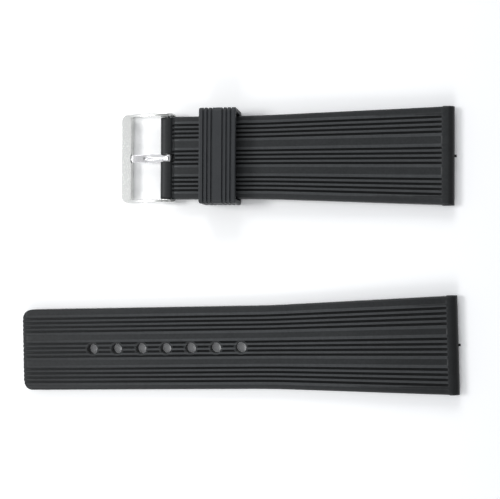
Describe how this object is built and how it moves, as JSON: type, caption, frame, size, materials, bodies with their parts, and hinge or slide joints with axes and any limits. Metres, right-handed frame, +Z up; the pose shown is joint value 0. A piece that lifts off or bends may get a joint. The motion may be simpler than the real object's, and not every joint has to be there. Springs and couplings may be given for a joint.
{
  "type": "rubber dive watch strap",
  "caption": "Ribbed rubber watch strap laid out flat: a short half with a steel pin buckle and a sliding keeper, and a long half with a row of holes.",
  "frame": {"origin": "on the table the strap lies on, in the middle of the whole", "axes": "+X from the buckle and the tail's tip to the two lug ends, +Y from the tail half to the buckle half, +Z up out of the ribbed face"},
  "size_m": [0.1179, 0.0758, 0.0103],
  "materials": {
    "strap_rubber": "matte moulded black rubber",
    "keeper_rubber": "matte moulded black rubber",
    "buckle_steel": "bead blasted on top, polished at the bevels",
    "tongue_steel": "fine brushed along its length",
    "bar_steel": "turned, bright"
  },
  "bodies": {
    "strap": {"buckle_strap": "strap_rubber", "bar_tube": "bar_steel", "bar_spring": "bar_steel"},
    "buckle": {"buckle_frame": "buckle_steel"},
    "tongue": {"tongue": "tongue_steel"},
    "keeper": {"keeper": "keeper_rubber"},
    "bar_tip_left": {"bar_tip_left": "bar_steel"},
    "bar_tip_right": {"bar_tip_right": "bar_steel"},
    "tail": {"tail_strap": "strap_rubber"}
  },
  "joints": [
    {"name": "buckle_hinge", "type": "hinge", "parent": "strap", "child": "buckle", "pos_m": [-0.01822, 0.0252, 0.00305], "axis": [0, 1, 0], "range_deg": [-60, 30]},
    {"name": "tongue_hinge", "type": "hinge", "parent": "buckle", "child": "tongue", "pos_m": [-0.01822, 0.0252, 0.00305], "axis": [0, 1, 0], "range_deg": [0, 80]},
    {"name": "keeper_slide", "type": "slide", "parent": "strap", "child": "keeper", "axis": [1, 0, 0], "range_m": [-0.0044, 0.0084]},
    {"name": "tip_left_press", "type": "slide", "parent": "strap", "child": "bar_tip_left", "axis": [0, -1, 0], "range_m": [0, 0.0008], "stiffness_N_per_m": 800, "springref_m": -0.002, "deforming": ["bar_spring"]},
    {"name": "tip_right_press", "type": "slide", "parent": "strap", "child": "bar_tip_right", "axis": [0, 1, 0], "range_m": [0, 0.0008], "stiffness_N_per_m": 800, "springref_m": -0.002, "deforming": ["bar_spring"]},
    {"name": "tail_lift", "type": "slide", "parent": "strap", "child": "tail", "axis": [0, 0, 1], "range_m": [0, 0.03]}
  ]
}
